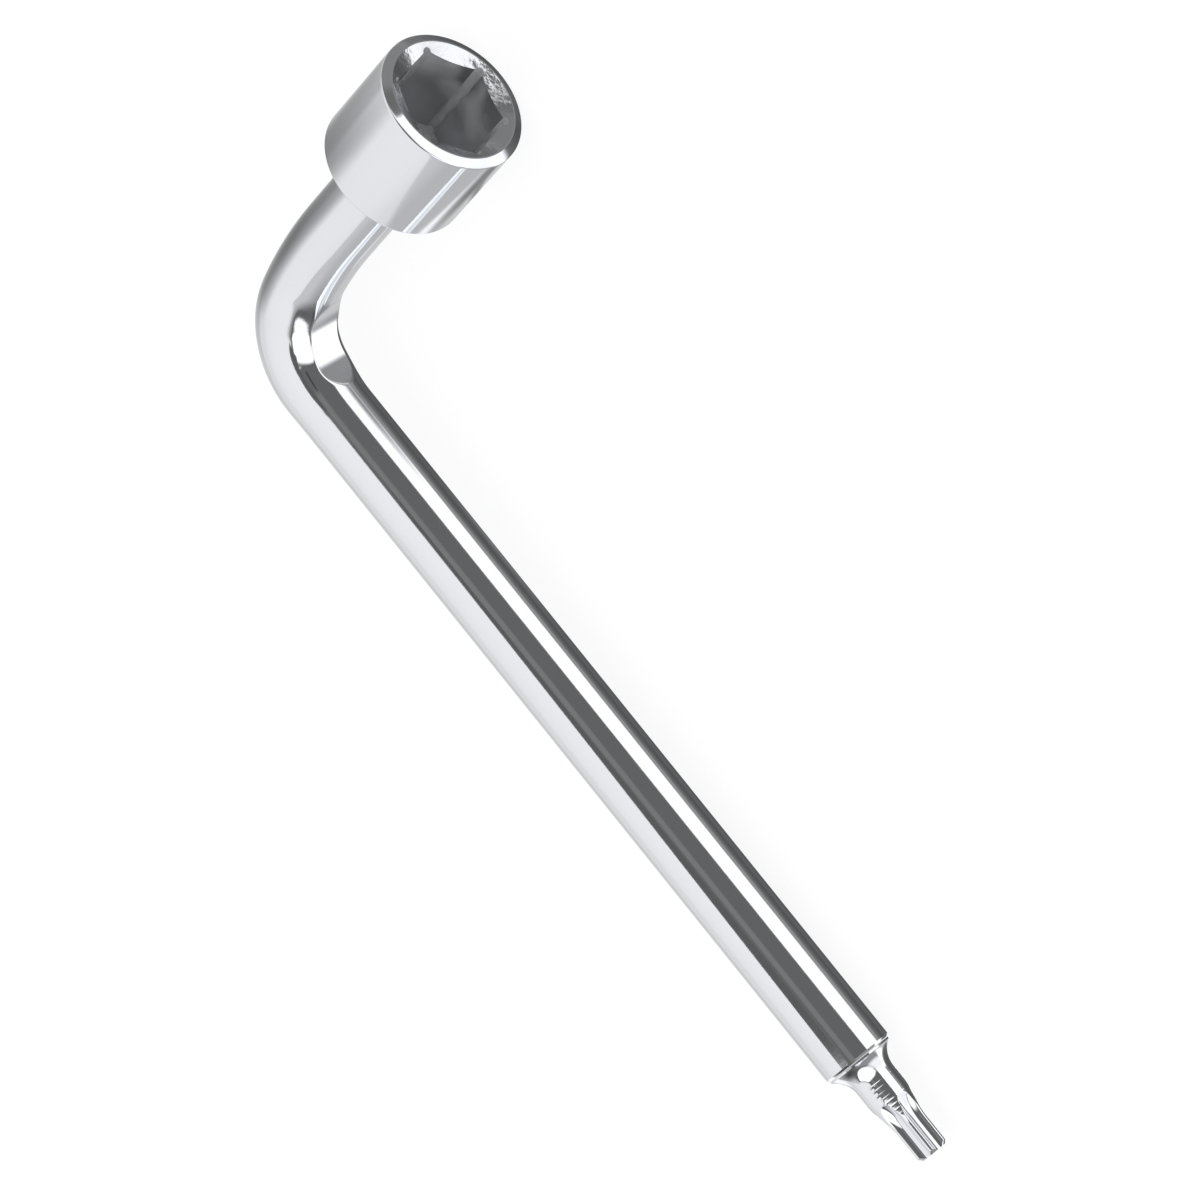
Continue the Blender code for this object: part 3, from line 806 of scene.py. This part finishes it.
def hangCard(name, mesh, material, share, level):  # glows where share is 1 and is clear where it is 0
    tree = material.node_tree
    clear = addNode(tree, "ShaderNodeBsdfTransparent").outputs[0]
    glow = addNode(tree, "ShaderNodeEmission", {"Strength": level}).outputs[0]
    mixed = addNode(tree, "ShaderNodeMixShader", {0: share, 1: clear, 2: glow}).outputs[0]
    addNode(tree, "ShaderNodeOutputMaterial", {0: mixed})
    mesh.materials.append(material)
    piece = addObject(name, mesh)
    piece.visible_camera = False
    piece.visible_diffuse = False
    piece.visible_shadow = False
    return piece


def makeCard(name, card):
    start = Vector(card.get("from", studio["middle"]))
    facing = aim(*card["facing"])
    spots = []
    for corner in card["corners"]:
        way = aim(*corner)
        spots.append(start + way * (card["distance"] / way.dot(facing)))
    centre = sum(spots, Vector()) / len(spots)
    if "heart" in card:
        way = aim(*card["heart"])
        centre = start + way * (card["distance"] / way.dot(facing))
    bm = bmesh.new()
    fill = bm.verts.layers.float.new("fill")
    rings = []
    for grow, full in zip(card["fade"], (1.0, 0.0)):
        ring = [bm.verts.new(toolToRow @ ((centre + (spot - centre) * grow) * mm)) for spot in spots]
        for vert in ring:
            vert[fill] = full
        rings.append(ring)
    bm.faces.new(rings[0])
    for i, inner in enumerate(rings[0]):
        k = (i + 1) % len(spots)
        bm.faces.new((inner, rings[0][k], rings[1][k], rings[1][i]))
    material = emptyMaterial(name)
    tree = material.node_tree
    share = addNode(tree, "ShaderNodeAttribute", attribute_name="fill").outputs["Fac"]
    share = addNode(tree, "ShaderNodeMapRange", {"Value": share}, interpolation_type="SMOOTHSTEP").outputs[0]
    piece = hangCard(name, meshFrom(bm, name), material, share, card["level"])


def makeScrim(name, start, facing, distance, offset, half, level):
    ahead = aim(*facing)
    across = aim(facing[0] + 90, 0)
    upward = ahead.cross(across)
    upward = upward if upward.z > 0 else -upward
    centre = Vector(start) + ahead * distance + across * offset[0] + upward * offset[1]
    bm = bmesh.new()
    bmesh.ops.create_grid(bm, x_segments=1, y_segments=1, size=1.0)
    material = emptyMaterial(name)
    tree = material.node_tree
    place = addNode(tree, "ShaderNodeTexCoord").outputs["Object"]
    reach = addNode(tree, "ShaderNodeVectorMath", {0: place}, operation="LENGTH").outputs["Value"]
    share = addNode(tree, "ShaderNodeMapRange", {"Value": reach, "From Min": 1.0, "From Max": 0.0},
                    interpolation_type="SMOOTHSTEP").outputs[0]
    piece = hangCard(name, meshFrom(bm, name), material, share, level)
    turn = Matrix((across * half[0] * mm, upward * half[1] * mm, ahead * mm)).transposed().to_4x4()
    piece.matrix_world = toolToRow @ Matrix.Translation(centre * mm) @ turn


def makeFloor():
    bm = bmesh.new()
    bmesh.ops.create_grid(bm, x_segments=1, y_segments=1, size=studio["floorReach"] * mm)
    mesh = meshFrom(bm, "floor")
    material = emptyMaterial("pale_floor")
    tree = material.node_tree
    matt = addNode(tree, "ShaderNodeBsdfDiffuse", {"Color": hexColour(studio["floorColour"])}).outputs[0]
    glow = addNode(tree, "ShaderNodeEmission", {"Strength": studio["floorWhite"]}).outputs[0]
    path = addNode(tree, "ShaderNodeLightPath").outputs
    share = addNode(tree, "ShaderNodeMath", {0: path["Is Camera Ray"], 1: studio["floorShare"]},
                    operation="MULTIPLY").outputs[0]
    mixed = addNode(tree, "ShaderNodeMixShader", {0: share, 1: matt, 2: glow}).outputs[0]
    addNode(tree, "ShaderNodeOutputMaterial", {0: mixed})
    mesh.materials.append(material)
    floor = addObject("floor", mesh)
    floor.visible_glossy = False


makeWorld()
makeFloor()
for name, card in studio["cards"].items():
    makeCard(name, card)
for name, scrim in studio["scrims"].items():
    makeScrim(name, *scrim)
print("studio ready:", len(studio["cards"]), "cards and", len(studio["scrims"]), "scrims")
